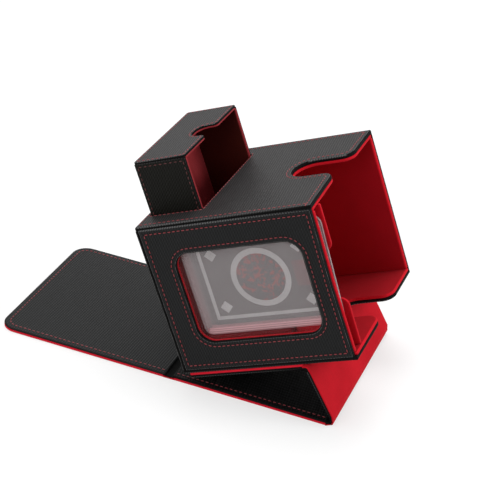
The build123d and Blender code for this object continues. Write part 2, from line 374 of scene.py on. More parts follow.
# %% Thread, film and steel
fibre_height = 0.1 * MM
smear_scale = 45


def plain_finish(name, low, high, scale, detail, roughness, spread, more, relief=0):
    """A surface whose colour, roughness and relief follow one noise."""
    finish = Finish(name)
    noise = finish.noise(finish.place(), scale, detail)
    sockets = {"Base Color": finish.mix(noise, low, high), "Roughness": roughness + noise * spread, **more}
    if relief:
        sockets["Normal"] = finish.bump(noise, relief, fibre_height)
    return finish.surface(sockets)


fibre = (4200, 2, 0.4, 0.2, {}, 0.4)
clear = {"Specular IOR Level": 0.12, "Alpha": 0.012}
thread = plain_finish("red_thread", (0.12, 0.005, 0.008, 1), (0.46, 0.055, 0.065, 1), *fibre)
shaded_thread = plain_finish("shaded_thread", (0.03, 0.003, 0.003, 1), (0.14, 0.015, 0.014, 1), *fibre)
film = plain_finish("window_film", grey(0.60), grey(0.75), smear_scale, 3, 0.06, 0.06, clear)
steel = plain_finish("magnet_steel", grey(0.55), grey(0.75), 900, 4, 0.25, 0.2, {"Metallic": 1.0})
print("materials so far", len(bpy.data.materials))

# %% [markdown]
# A wrapped panel is a slab whose edges are rolled. Its outline, with notches and holes, is read from
# the frame: the flat face that lies farthest along a direction is found and the edges round it are
# walked in order.

# %% Outlines of the panels
weld = 0.002 * MM
same_level = 5 * weld
square_on = 0.999


class Flat:
    """The plane of a node's farthest face along a direction, with two directions in it."""

    def __init__(self, node, outward, across):
        self.outward = outward
        self.across = across
        self.along = outward.cross(across)
        low, high = span(node, outward)
        self.level = high
        self.thick = high - low

    def point(self, place, depth):
        return self.across * place[0] + self.along * place[1] + self.outward * (self.level - depth)

    def local(self, point):
        return Vector((point.dot(self.across), point.dot(self.along)))


def loop_area(points):
    pairs = zip(points, points[1:] + points[:1])
    return sum(a.x * b.y - a.y * b.x for a, b in pairs) / 2


def edge_loops(node, direction, flat):
    """Edges of a node's farthest flat face along a direction, largest loop first."""
    mesh = bmesh.new()
    mesh.from_mesh(nodes[node].data)
    bmesh.ops.remove_doubles(mesh, verts=mesh.verts, dist=weld)
    facing = [face for face in mesh.faces if face.normal.dot(direction) > square_on]
    level = max(face.calc_center_median().dot(direction) for face in facing)
    top = [face for face in facing if level - face.calc_center_median().dot(direction) < same_level]
    picked = set(top)
    ahead = {}
    for face in top:
        for corner in face.loops:
            if not any(other in picked for other in corner.edge.link_faces if other is not face):
                ahead[corner.vert] = corner.link_loop_next.vert
    loops = []
    while ahead:
        start, vertex = ahead.popitem()
        points = [flat.local(start.co)]
        while vertex is not start:
            points.append(flat.local(vertex.co))
            vertex = ahead.pop(vertex)
        loops.append(points)
    mesh.free()
    loops.sort(key=lambda points: -abs(loop_area(points)))
    if loop_area(loops[0]) < 0:
        loops = [points[::-1] for points in loops]
    return loops


def panel_loops(node, direction, flat):
    """Outer edge of a panel and its hole, without the edges of the pocket inside the leather."""
    loops = edge_loops(node, direction, flat)
    return [loops[0], loops[-1]] if len(loops) == 4 else [loops[0]]


left_wall = Flat("left_wall_leather", WIDTH, HEIGHT)
left_wall_loops = panel_loops("left_wall_leather", -WIDTH, left_wall)
print("left wall loops", len(left_wall_loops))

# %% [markdown]
# Leather that is wrapped round a board can't make a sharp corner, so each corner of an outline gets a
# small arc. An edge then keeps, for each of its points, the way inwards, and can be moved in by any
# distance without crossing itself at the corners.

# %% Rounded corners and inset edges
sharp_turn = radians(40)
corner_steps = 5
panel_corner = 1.0 * MM


def left_normal(a, b):
    step = (b - a).normalized()
    return Vector((-step.y, step.x))


def soften(points, radius):
    """Points of an edge with their way inwards. A sharp corner becomes a short arc."""
    edge = []
    for before, here, after in zip(points[-1:] + points[:-1], points, points[1:] + points[:1]):
        first, second = left_normal(before, here), left_normal(here, after)
        miter = (first + second) / (1 + first.dot(second))
        if first.angle(second) < sharp_turn:
            edge.append((here, miter, 0, None))
            continue
        convex = first.x * second.y - first.y * second.x > 0
        sign = 1 if convex else -1
        for step in range(corner_steps + 1):
            direction = first.slerp(second, step / corner_steps) * -sign
            edge.append((here, miter, sign * radius, direction))
    return edge


def set_in(edge, inset):
    """The edge moved inwards. A rounded corner turns sharp once it has been used up."""
    places = []
    for corner, miter, radius, direction in edge:
        if radius == 0 or inset >= radius > 0:
            places.append(corner + miter * inset)
        else:
            center = corner + miter * radius
            places.append(center + direction * abs(radius - inset))
    return places


print("points round the left wall", len(soften(left_wall_loops[0], panel_corner)))

# %% [markdown]
# The slab itself is a stack of rings that follow the outline: from the flat underside, round its
# edge, up the side, round the top edge and, where a seam is sewn, down and up through a shallow
# channel. Each ring is an inset from the outline and a depth under the face.

# %% Rings of a slab
round_steps = 4
channel_steps = 4
channel_half = 0.9 * MM
channel_deep = 0.28 * MM
flat_rest = 0.5 * MM


def quarter(radius):
    """Insets and depths round a quarter of a circle."""
    turns = [pi / 2 * i / round_steps for i in range(round_steps + 1)]
    return [(radius * (1 - cos(angle)), radius * (1 - sin(angle))) for angle in turns]


def profile(thick, top, low, channel):
    """Rings of a slab as inset and depth, from the underside to the top."""
    rings = [(low + flat_rest, thick)]
    rings += [(inset, thick - depth) for inset, depth in reversed(quarter(low))]
    rings += quarter(top)
    if channel:
        for i in range(channel_steps + 1):
            side = -1 + 2 * i / channel_steps
            rings.append((channel + channel_half * side, channel_deep * (1 - side * side)))
        rings.append((channel + channel_half + flat_rest, 0))
    else:
        rings.append((top + flat_rest, 0))
    return rings


print("rings of a slab", len(profile(left_wall.thick, MM, MM, 0)))

# %% [markdown]
# Rings are joined to closed bands, and both flats are filled with triangles, which copes with notches
# and holes. Each point also notes how far round the rim it lies, for the finishes, which paint shade
# and highlights on the rims. Towards the mouth and round a hole the leather's edge is plain, so there
# the whole rim counts as turned.

# %% Rolled slab
mouth_facing = 0.5


def close_rows(mesh, flat, rows):
    """Faces between the rings of a slab and over its two flats."""
    faces = []
    for lower, upper in zip(rows, rows[1:]):
        for a, b in zip(lower, upper):
            count = len(a)
            for i in range(count):
                j = (i + 1) % count
                faces.append(mesh.faces.new((a[i], a[j], b[j], b[i])))
    for row, flip in ((rows[0], True), (rows[-1], False)):
        verts = [vert for ring in row for vert in ring]
        corners = [[Vector((*flat.local(vert.co), 0)) for vert in ring] for ring in row]
        for triangle in tessellate_polygon(corners):
            order = [verts[i] for i in triangle]
            sides = [flat.local(vert.co) for vert in order]
            if (loop_area(sides) > 0) == flip:
                order.reverse()
            if abs(loop_area(sides)) > 0:
                faces.append(mesh.faces.new(order))
    return faces


def add_slab(mesh, flat, loops, thick, top, low, channel=0, corner=panel_corner, depth=0):
    """Add a closed slab to a mesh. Its UV map is in metres and unrolls over the rim."""
    uv_layer = mesh.loops.layers.uv.verify()
    rim_layer = mesh.verts.layers.float.get("rim") or mesh.verts.layers.float.new("rim")
    edges = [soften(points, corner) for points in loops]
    rings = profile(thick, top, low, channel)
    start = len(profile(thick, top, low, 0)) - 2
    lengths = [0.0] * len(rings)
    for k in range(start - 1, -1, -1):
        (a, b), (c, d) = rings[k], rings[k + 1]
        lengths[k] = lengths[k + 1] + sqrt((a - c) ** 2 + (b - d) ** 2)
    unrolled = {}
    rows = []
    for k, (inset, sunk) in enumerate(rings):
        turned = min(1, max(0, (start - k) / round_steps))
        row = []
        for number, edge in enumerate(edges):
            places = set_in(edge, inset)
            spread = set_in(edge, min(inset, top)) if k < start else places
            verts = [mesh.verts.new(flat.point(place, depth + sunk)) for place in places]
            for vert, place, (_, miter, _, _) in zip(verts, spread, edge):
                unrolled[vert] = place - miter.normalized() * lengths[k]
                plain = number > 0 or -miter.normalized().x > mouth_facing
                vert[rim_layer] = ceil(turned) if plain else turned
            row.append(verts)
        rows.append(row)
    for face in close_rows(mesh, flat, rows):
        for corner_loop in face.loops:
            corner_loop[uv_layer].uv = unrolled[corner_loop.vert]


# %% [markdown]
# A piece is a mesh with a finish that rides on one body of the frame and takes the place of the plain
# solids it dresses. Most pieces are a single slab, so that has a short name too.

# %% Finished pieces
smooth_angle = radians(38)


def finish_piece(name, mesh, material, body, slot, replaced=()):
    """Turn a mesh under construction into a piece that rides on a body."""
    bmesh.ops.remove_doubles(mesh, verts=mesh.verts, dist=weld / 4)
    bmesh.ops.dissolve_degenerate(mesh, edges=mesh.edges, dist=weld / 4)
    bmesh.ops.recalc_face_normals(mesh, faces=mesh.faces)
    data = bpy.data.meshes.new(name)
    mesh.to_mesh(data)
    mesh.free()
    data.shade_smooth()
    data.set_sharp_from_angle(angle=smooth_angle)
    data.materials.append(material)
    piece = show(bpy.data.objects.new(name, data))
    if body:
        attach(piece, body)
    if replaced:
        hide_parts(*replaced)
    print(name, len(data.polygons), "faces")
    return piece


def slab_piece(name, made_of, replaced, flat, loops, *sizes, **more):
    """A piece of one slab. What it is made of is a material, a body and a slot, and the slot is not used.
    """
    mesh = bmesh.new()
    add_slab(mesh, flat, loops, *sizes, **more)
    return finish_piece(name, mesh, *made_of, replaced)


# %% [markdown]
# Seams run along many edges. Their rows are only noted here, and the stitches are made at the end, all
# at once. At a corner a sewn row ends and a new one starts, each half a stitch short of it.

# %% Rows of stitches
seams = {(body, "bright"): [] for body in frame["bodies"]}
seams["drawer", "dim"] = []
pitch = 3.4 * MM


def trimmed(points, length):
    """A row of points shortened at its start."""
    points = list(points)
    while len(points) > 2 and (points[1] - points[0]).length <= length:
        length -= (points[1] - points[0]).length
        points.pop(0)
    points[0] = points[0] + (points[1] - points[0]).normalized() * length
    return points


def sew(body, flat, places, depth, closed=True, shade="bright"):
    """Note a row of stitches for later, cut at its corners."""
    row = [flat.point(place, depth) for place in places]
    row = [p for i, p in enumerate(row) if (p - row[i - 1]).length > weld or (i == 0 and not closed)]
    count = len(row)
    turns = range(count) if closed else range(1, count - 1)
    corners = [
        i for i in turns
        if (row[i] - row[i - 1]).angle(row[(i + 1) % count] - row[i]) > sharp_turn
    ]
    if closed and not corners:
        seams[body, shade].append((row, True))
        return
    if closed:
        row = row[corners[0]:] + row[:corners[0] + 1]
        cuts = [i - corners[0] for i in corners] + [count]
    else:
        cuts = [0] + corners + [count - 1]
    for first, last in zip(cuts, cuts[1:]):
        side = trimmed(row[first:last + 1], pitch / 2)
        seams[body, shade].append((trimmed(side[::-1], pitch / 2), False))


def seam(body, flat, points, inset, depth, corner=panel_corner, shade="bright"):
    sew(body, flat, set_in(soften(points, corner), inset), depth, shade=shade)


# %% [markdown]
# The mouth of the box isn't straight. Leather over a board sags between the corners, so the mouth
# edges of the front and left wall are drawn in by a few millimetres, most in the middle. This could
# be sculpted, but three amounts for each edge say it as well.

# %% Mouth edges
mouth_hollow = {
    "front_wall_leather": (2.1 * MM, 2.9 * MM, 2.0 * MM),
    "front_wall_lining": (1.2 * MM, 1.8 * MM, 1.2 * MM),
    "left_wall_leather": (1.5 * MM, 3.6 * MM, 0),
    "left_wall_lining": (1.5 * MM, 3.6 * MM, 0),
}
hollow_reach = 22 * MM
hollow_steps = 12


def hollow(node, flat, points):
    """Draw a wall's mouth edge in by three amounts: near end, middle, far end (none past a notch)."""
    if node not in mouth_hollow:
        return points
    near, middle, far = mouth_hollow[node]
    way = -1 if round(flat.along.dot(DEPTH)) < 0 else 1
    u_high = max(p.x for p in points)
    v_low = min(p.y * way for p in points)
    half = (max(p.y * way for p in points) - v_low) / 2
    fine = []
    for p, q in zip(points, points[1:] + points[:1]):
        steps = hollow_steps if min(p.x, q.x) > u_high - weld else 1
        fine += [p.lerp(q, i / steps) for i in range(steps)]
    moved = []
    for p in fine:
        share = (p.y * way - v_low) / half
        amount = near + (middle - near) * share if share < 1 else middle + (far - middle) * (share - 1)
        if far == 0 and share >= 1:
            amount = 0
        weight = max(0, 1 - (u_high - p.x) / hollow_reach)
        moved.append(Vector((p.x - amount * weight, p.y)))
    return moved


print("hollow edges", len(mouth_hollow))

# %% [markdown]
# Five walls make the box. Each has a leather slab outside, which also stands for the board in it, and
# a thicker suede slab inside whose rim shows as a red bead round the mouth. The left and right wall
# have more leather and less suede in their edge than the others, and the left wall's leather ends a
# little short of the front.

# %% Walls of the box
leather_roll = 1.1 * MM
leather_turn = 0.3 * MM
side_turn = 0.8 * MM
side_split = 0.65 * MM
near_step = 0.8 * MM
wall_seam = 3.6 * MM
suede_roll = 1.15 * MM
suede_turn = 0.7 * MM
roll_share, turn_share = 0.5, 0.4

wall_sides = {
    "left_wall": (WIDTH, HEIGHT),
    "right_wall": (-WIDTH, HEIGHT),
    "bottom_wall": (-HEIGHT, DEPTH),
    "front_wall": (-DEPTH, HEIGHT),
    "back_wall": (DEPTH, HEIGHT),
}
channelled = ("front_wall", "back_wall", "bottom_wall")
wall_flats = {}
wall_edges = {}
for name, (outward, across) in wall_sides.items():
    skin = Flat(f"{name}_leather", outward, across)
    outer, *holes = panel_loops(f"{name}_leather", -outward, skin)
    outer = hollow(f"{name}_leather", skin, outer)
    if name == "left_wall":
        v_low = min(p.y for p in outer)
        outer = [Vector((p.x, max(p.y, v_low + near_step))) for p in outer]
    wall_flats[name], wall_edges[name] = skin, [outer, *holes]
    split, under = (side_split, side_turn) if name in ("left_wall", "right_wall") else (0, leather_turn)
    material = front_leather if name == "front_wall" else leather
    slab_piece(
        f"{name}_skin", (material, "box", "black_leather"), (f"{name}_leather", f"{name}_board"),
        skin, wall_edges[name], skin.thick + split, leather_roll, under,
        channel=wall_seam if name in channelled else 0,
    )

    inside = Flat(f"{name}_lining", -outward, across)
    outer, *holes = edge_loops(f"{name}_lining", -outward, inside)
    outer = hollow(f"{name}_lining", inside, outer)
    thick = inside.thick - split
    material = shaded_suede if name in ("back_wall", "right_wall") else suede
    slab_piece(
        f"{name}_suede", (material, "box", "red_suede"), (f"{name}_lining",), inside, [outer, *holes],
        thick, min(suede_roll, thick * roll_share), min(suede_turn, thick * turn_share),
    )

# %% [markdown]
# The front, back and bottom wall are sewn along all their edges, in the pressed channels. On the left
# wall the row beside the drawer's hole runs in the middle of the narrow strip that is left there, and
# the hole has a row of its own. A drawn line would be simpler, but real stitches cast small shadows.

# %% Seams of the walls
stitch_depth = 0.05 * MM
hole_seam = 1.3 * MM
row_slack = 1.01

for name in channelled:
    for points in wall_edges[name]:
        seam("box", wall_flats[name], points, wall_seam, stitch_depth)

outer, hole = wall_edges["left_wall"]
low_edge = min(place.x for place in outer)
strip_middle = (low_edge + min(place.x for place in hole)) / 2
beside_hole = low_edge + wall_seam * row_slack
left_seam = set_in(soften(outer, panel_corner), wall_seam)
left_seam = [Vector((strip_middle if p.x < beside_hole else p.x, p.y)) for p in left_seam]
sew("box", wall_flats["left_wall"], left_seam, stitch_depth)
seam("box", wall_flats["left_wall"], hole, hole_seam, stitch_depth)
seam("box", wall_flats["right_wall"], wall_edges["right_wall"][0], wall_seam, stitch_depth)
print("rows on the box", len(seams["box", "bright"]))

# %% [markdown]
# The partition is a suede board with a scooped finger notch. The floor, guides and stop are boards
# under suede whose shape in the frame is right, so they only take a finish. The rails of the card's
# slot end short of the mouth, where the clear case is gripped.

# %% Partition and inner boards
board_roll = 0.5 * MM
rail_trim = 14 * MM


def paint(material, *names):
    """Give plain solids of the frame a finish."""
    for name in names:
        data = nodes[name].data
        data.materials.clear()
        data.materials.append(material)


def rectangle(flat, node, trim_across=(0, 0), trim_along=(0, 0)):
    """Rectangle of a node's reach in a plane, trimmed at its ends."""
    u_low, u_high = span(node, flat.across)
    v_low, v_high = span(node, flat.along)
    u_low, u_high = u_low + trim_across[0], u_high - trim_across[1]
    v_low, v_high = v_low + trim_along[0], v_high - trim_along[1]
    return [Vector(p) for p in ((u_low, v_low), (u_high, v_low), (u_high, v_high), (u_low, v_high))]


screen = Flat("partition", -DEPTH, HEIGHT)
slab_piece(
    "partition_suede", (suede, "box", "suede_board"), ("partition",), screen,
    edge_loops("partition", -DEPTH, screen), screen.thick, board_roll, board_roll,
)
paint(suede, "deck_floor", "drawer_guide_front", "drawer_guide_back")
# The stop and the rails of the slot take the dark suede, as painted shade.
paint(shaded_slot_suede, "slot_stop")
paint(film, "window_film")
paint(steel, "wall_magnets", "flap_magnets")
for name in ("slot_rail_lower", "slot_rail_upper"):
    rail = Flat(name, -DEPTH, HEIGHT)
    slab_piece(
        f"{name}_suede", (shaded_slot_suede, "box", "suede_board"), (name,), rail,
        [rectangle(rail, name, (0, rail_trim))], rail.thick, board_roll, board_roll,
    )

# %% [markdown]
# The drawer's end panel is what is pulled. It is a leather slab with a finger notch and a sewn row,
# backed by suede that stops at the tray's walls. One thick block would hide where the two meet, so
# they are two slabs.

# %% Drawer end
drawer_roll = 0.6 * MM
end_seam = 1.7 * MM
end_thick = 1.5 * MM
end_corner = 1.8 * MM
end_cloth_roll = 0.35 * MM

end_skin = Flat("drawer_end_leather", WIDTH, HEIGHT)
end_loops = panel_loops("drawer_end_leather", -WIDTH, end_skin)
slab_piece(
    "drawer_end_skin", (leather, "drawer", "black_leather"), ("drawer_end_leather", "drawer_end_board"),
    end_skin, end_loops, end_thick, drawer_roll, leather_turn, corner=end_corner,
)
seam("drawer", end_skin, end_loops[0], end_seam, stitch_depth, end_corner)

core = span("drawer_tray_leather", DEPTH)[1] - span("drawer_tray_lining", DEPTH)[1]
end_inside = Flat("drawer_end_lining", -WIDTH, HEIGHT)
end_edge = edge_loops("drawer_end_lining", -WIDTH, end_inside)[0]
u_low = min(p.x for p in end_edge) + core
v_low, v_high = min(p.y for p in end_edge) + core, max(p.y for p in end_edge) - core
end_cloth = [Vector((max(p.x, u_low), min(max(p.y, v_low), v_high))) for p in end_edge]
slab_piece(
    "drawer_end_suede", (drawer_suede, "drawer", "red_suede"), ("drawer_end_lining",), end_inside,
    [end_cloth], end_skin.level - end_thick + end_inside.level, end_cloth_roll, leather_turn,
)

# %% [markdown]
# The tray behind it is a tub of four walls. Each wall is a pair of rolled slabs, leather outside and
# suede inside, like the walls of the box. Two of its inner faces lie in shade below their rim, so a
# thin dim sheet lies on them.

# %% Drawer tray
drawer_seam = 2.3 * MM
tray_corner = 0.5 * MM
cloth_thick = 1.6 * MM
cloth_shown = 0.8 * MM
cloth_roll = 0.3 * MM
cloth_turn = 0.5 * MM
face_rim = 1.0 * MM
face_thick = 0.3 * MM
face_roll = 0.05 * MM
face_corner = 0.2 * MM

shift = cloth_thick - cloth_shown
reach = end_skin.level - end_thick - span("drawer_tray_leather", WIDTH)[1]
tray_sides = {
    "near": (-DEPTH, HEIGHT, (0, 0), (0, -reach)),
    "far": (DEPTH, HEIGHT, (0, 0), (-reach, 0)),
    "low": (-HEIGHT, DEPTH, (core, core), (-reach, 0)),
    "inner": (-WIDTH, HEIGHT, (core, 0), (core, core)),
}
skin_mesh, cloth_mesh, shade_mesh = bmesh.new(), bmesh.new(), bmesh.new()
for side, (outward, across, across_trim, along_trim) in tray_sides.items():
    flat = Flat("drawer_tray_leather", outward, across)
    panel = rectangle(flat, "drawer_tray_leather", across_trim, along_trim)
    add_slab(skin_mesh, flat, [panel], core - shift, drawer_roll, leather_turn, corner=tray_corner)
    # The rows on the near and far sides take the darker thread, as painted shade.
    if side in ("near", "far"):
        seam("drawer", flat, panel, drawer_seam, stitch_depth, tray_corner, "dim")
    inside = Flat("drawer_tray_lining", outward, across)
    inner = rectangle(inside, "drawer_tray_lining")
    rolls = (cloth_thick, cloth_roll, cloth_turn)
    add_slab(cloth_mesh, inside, [inner], *rolls, corner=cloth_roll, depth=-shift)
    if side in ("far", "inner"):
        face = rectangle(inside, "drawer_tray_lining", (0, face_rim))
        rolls = (face_thick, face_roll, face_roll)
        sunk = cloth_shown - face_thick / 3
        add_slab(shade_mesh, inside, [face], *rolls, corner=face_corner, depth=sunk)
finish_piece(
    "drawer_tray_skin", skin_mesh, drawer_leather, "drawer", "black_leather",
    ("drawer_tray_leather", "drawer_tray_board"),
)
finish_piece("drawer_tray_suede", cloth_mesh, drawer_suede, "drawer", "red_suede", ("drawer_tray_lining",))
finish_piece("drawer_far_shade_sheet", shade_mesh, painted_shade_suede, "drawer", "red_suede")

# %% [markdown]
# The cover is one strip of four panels. It is glued from one sheet, but each panel has to turn by
# itself, so each is a pair of slabs. The leather is outside when the box is shut, so on the stand it
# faces up on the lid and flap, and inwards on the prop. The leather of the lid and flap reaches a
# little into the fold between them, and the mount panel stops short of the heel of the box.

# %% Cover panels
cover_split = {"mount": 0, "prop": 0, "lid": 0.8 * MM, "flap": 0.8 * MM}
mount_narrow = 1.2 * MM
cover_suede_roll = 0.5 * MM
fold_stretch = 0.9 * MM
heel_trim = 4.4 * MM
cover_sides = {
    "mount": ("box", -WIDTH, HEIGHT, leather, lit_rim_suede),
    "prop": ("prop", -PROP_LINING, PROP, leather, suede),
    "lid": ("lid", UP, TABLE, lid_leather, lit_rim_suede),
    "flap": ("flap", UP, TABLE, flap_leather, lit_rim_suede),
}
mount_reach = (-heel_trim, 0, mount_narrow)
skin_reach = {"mount": mount_reach, "prop": (0, 0), "lid": (0, fold_stretch), "flap": (fold_stretch, 0)}
cloth_reach = {"mount": mount_reach}


def stretch(points, low=0, high=0, narrow=0):
    """A panel's outline with its two ends across the fold moved outwards and its sides moved in."""
    u_low, u_high = min(p.x for p in points), max(p.x for p in points)
    v_low, v_high = min(p.y for p in points) + narrow, max(p.y for p in points) - narrow
    moved = []
    for p in points:
        end = -low if p.x < u_low + MM else high if p.x > u_high - MM else 0
        moved.append(Vector((p.x + end, min(max(p.y, v_low), v_high))))
    return moved


cover_skins = {}
for name, (body, outward, across, material, cloth_material) in cover_sides.items():
    skin = Flat(f"{name}_leather", outward, across)
    loop = stretch(panel_loops(f"{name}_leather", -outward, skin)[0], *skin_reach[name])
    cover_skins[name] = (body, skin, loop)
    slab_piece(
        f"{name}_skin", (material, body, "black_leather"), (f"{name}_leather", f"{name}_board"),
        skin, [loop], skin.thick - cover_split[name], leather_roll, leather_turn,
    )
    inside = Flat(f"{name}_lining", -outward, across)
    loop = stretch(edge_loops(f"{name}_lining", -outward, inside)[0], *cloth_reach.get(name, (0, 0)))
    thick = inside.thick + cover_split[name]
    roll = min(cover_suede_roll, thick * turn_share)
    slab_piece(
        f"{name}_suede", (cloth_material, body, "red_suede"), (f"{name}_lining",),
        inside, [loop], thick, roll, roll,
    )

# %% [markdown]
# The panels are sewn along their two long sides. Only the flap has a free end that shows, so only its
# row also turns round that end.

# %% Seams of the cover
cover_seam = 4.4 * MM
row_end = 1.5 * MM

for name, (body, skin, loop) in cover_skins.items():
    row = set_in(soften(loop, panel_corner), cover_seam)
    u_low, u_high = min(p.x for p in loop) + row_end, max(p.x for p in loop) - row_end
    if name == "flap":
        start = max(i for i in range(len(row)) if row[i].x < u_low + cover_seam)
        order = [row[(start + 1 + i) % len(row)] for i in range(len(row))]
        order = [p for p in order if p.x > u_low + cover_seam]
        order = [Vector((u_low, order[0].y))] + order + [Vector((u_low, order[-1].y))]
        sew(body, skin, order, stitch_depth, closed=False)
    else:
        for v in (min(p.y for p in row), max(p.y for p in row)):
            sew(body, skin, [Vector((u_low, v)), Vector((u_high, v))], stitch_depth, closed=False)
print("rows on the flap", len(seams["flap", "bright"]))

# %% [markdown]
# At a fold there is no board, only leather and suede. A strip that follows the bend is drawn as a
# cross-section and pulled along the fold. It bends between the two panels.

# %% Fold strips
fold_low, fold_high = span("lid_fold", DEPTH)
bend_steps = 12
lead_share = 0.8


def bend(center, way_in, normal_in, way_out, normal_out, low, high, lead, sag=0):
    """Cross-section of a strip between two distances from a fold line, with straight leads."""
    straight = normal_in == normal_out
    outline = []
    for distance, order in ((low, 1), (high, -1)):
        line = [center - way_in * lead + normal_in * distance]
        for step in range(bend_steps + 1):
            share = step / bend_steps
            normal = normal_in if straight else normal_in.slerp(normal_out, share)
            slide = way_out * (2 * share - 1) * lead * lead_share if straight else Vector((0, 0, 0))
            dip = sag * sin(pi * share)
            line.append(center + slide + normal * (distance + dip))
        line.append(center + way_out * lead + normal_out * distance)
        outline += line[::order]
    return outline


def pull(outline):
    """Mesh of a cross-section that is pulled along the fold lines into a closed strip."""
    mesh = bmesh.new()
    uv_layer = mesh.loops.layers.uv.verify()
    ends = [[mesh.verts.new(Vector((p.x, y, p.z))) for p in outline] for y in (fold_low, fold_high)]
    count = len(outline)
    faces = [mesh.faces.new(ends[0]), mesh.faces.new(ends[1][::-1])]
    for i in range(count):
        j = (i + 1) % count
        faces.append(mesh.faces.new((ends[0][i], ends[0][j], ends[1][j], ends[1][i])))
    for face in faces:
        for corner in face.loops:
            corner[uv_layer].uv = (corner.vert.co.x + corner.vert.co.z, corner.vert.co.y)
    return mesh


def fold_pair(name, fold, skin, cloth, lead, sag=0):
    """Leather and suede of a fold between two bodies, each between two distances from its line."""
    for part, (low, high), dip, material, slot, replaced in (
        ("skin", skin, sag, fold_leather, "black_leather", (name,)),
        ("suede", cloth, 0, suede, "red_suede", ()),
    ):
        mesh = pull(bend(*fold, low, high, lead, dip))
        bmesh.ops.triangulate(mesh, faces=[face for face in mesh.faces if len(face.verts) > 4])
        piece = finish_piece(f"{name}_{part}", mesh, material, None, slot, replaced)
        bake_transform(piece)


# %% [markdown]
# The flap fold lies flat as a shallow groove on the table, and its leather sags a little. The stand
# fold is bent like an elbow under the box. Both have black leather over red suede.

# %% Flap fold and stand fold
groove_half = 4.2 * MM
groove_low, groove_high = 1.0 * MM, 1.6 * MM
groove_sag = 0.4 * MM
groove_cloth = 1.5 * MM
groove_rise = 0.15 * MM
elbow_lead = 1.6 * MM
elbow_low = 0.05 * MM
elbow_skin = 2.0 * MM
cover_thick = span("lid_leather", UP)[1] - span("lid_lining", UP)[0]

groove = (flap_point, TABLE, -UP, TABLE, -UP)
fold_pair(
    "flap_fold", groove, (groove_low, groove_high),
    (groove_cloth, cover_thick - groove_rise), groove_half, groove_sag,
)
elbow = (stand_point, HEIGHT, WIDTH, PROP, PROP_LINING)
fold_pair(
    "stand_fold", elbow, (elbow_low, elbow_skin),
    (elbow_skin, cover_thick), elbow_lead,
)

# %% [markdown]
# The lid fold turns through more than half a circle, too far for a blended strip. There each panel
# gets a thin tongue that tapers to the fold line, and a round bead on the line joins the two.

# %% Tip at the lid fold
tip_reach = 3.9 * MM
tip_flat = 3.4 * MM
tip_core = 0.7 * MM
tip_radius = 1.4 * MM
bead_steps = 16
panel_core = Flat("lid_leather", UP, TABLE).thick


def tip(name, body, away, lining):
    """Black and red tongues from a panel's end to the lid fold."""
    def place(run, depth):
        return lid_point + away * run + lining * depth

    black = [place(0, 0), place(tip_reach, 0), place(tip_reach, panel_core), place(tip_flat, panel_core)]
    black.append(place(0, tip_core))
    red = [place(0, tip_core), place(tip_flat, panel_core), place(tip_reach, panel_core)]
    red += [place(tip_reach, cover_thick), place(tip_flat, cover_thick), place(0, tip_radius)]
    finish_piece(f"{name}_skin", pull(black), fold_leather, body, "black_leather")
    finish_piece(f"{name}_suede", pull(red), suede, body, "red_suede")


def bead(start):
    """Half a circle round the lid fold."""
    arc = [start + pi * step / bead_steps for step in range(bead_steps + 1)]
    return pull([lid_point + Vector((cos(angle), 0, sin(angle))) * tip_radius for angle in arc])


tip("prop_tip", "prop", -PROP, PROP_LINING)
tip("lid_tip", "lid", TABLE, -UP)
bead_turn = atan2(PROP_LINING.z, PROP_LINING.x) - pi / 2
finish_piece("lid_fold_bead_suede", bead(bead_turn), suede, "prop", "red_suede", ("lid_fold",))
finish_piece("lid_fold_bead_skin", bead(bead_turn + pi), fold_leather, "prop", "black_leather")

# %% [markdown]
# Red saddle stitches run along most edges. There are about a thousand, all alike, so a Geometry Nodes
# tree sets one small bead of thread at each step of the pitch along every seam line.

# %% Stitch tree
stitch_sizes = {"Pitch": pitch, "Length": 2.4 * MM, "Thickness": 0.7 * MM}
stitch_ball = {"Segments": 8, "Rings": 5, "Radius": 0.5}


def stitch_tree(name, material):
    """Geometry Nodes that set a bead of thread at each step along a line."""
    tree = bpy.data.node_groups.new(name, "GeometryNodeTree")
    tree.interface.new_socket("Geometry", in_out="INPUT", socket_type="NodeSocketGeometry")
    for label in stitch_sizes:
        tree.interface.new_socket(label, in_out="INPUT", socket_type="NodeSocketFloat")
    tree.interface.new_socket("Geometry", in_out="OUTPUT", socket_type="NodeSocketGeometry")
    add = Tree(tree).add
    lines = add("NodeGroupInput", {}, {}, "Geometry")
    step, long, thick = (lines.output(label) for label in stitch_sizes)
    curve = add("GeometryNodeMeshToCurve", {}, {"Mesh": lines}, "Curve")
    even = add("GeometryNodeResampleCurve", {"mode": "LENGTH"}, {"Curve": curve, "Length": step}, "Curve")
    points = add("GeometryNodeCurveToPoints", {"mode": "EVALUATED"}, {"Curve": even}, "Points")
    along = {"Vector": points.output("Tangent")}
    aim = add("FunctionNodeAlignRotationToVector", {"axis": "Z"}, along, "Rotation")
    ball = add("GeometryNodeMeshUVSphere", {}, stitch_ball, "Mesh")
    soft = add("GeometryNodeSetShadeSmooth", {}, {"Geometry": ball}, "Geometry")
    size = add("ShaderNodeCombineXYZ", {}, {"X": thick, "Y": thick, "Z": long}, "Vector")
    sewn = {"Points": points, "Instance": soft, "Rotation": aim, "Scale": size}
    rows = add("GeometryNodeInstanceOnPoints", {}, sewn, "Instances")
    real = add("GeometryNodeRealizeInstances", {}, {"Geometry": rows}, "Geometry")
    dyed = add("GeometryNodeSetMaterial", {}, {"Geometry": real, "Material": material}, "Geometry")
    add("NodeGroupOutput", {}, {"Geometry": dyed})
    return tree


stitch_rows = {
    "bright": stitch_tree("stitch_rows", thread),
    "dim": stitch_tree("dim_stitch_rows", shaded_thread),
}
print("stitch trees", len(stitch_rows))

# %% [markdown]
# The noted rows of each body become one mesh of lines. The tree turns it into stitches, and the result
# is kept as a piece of its own that rides on that body.

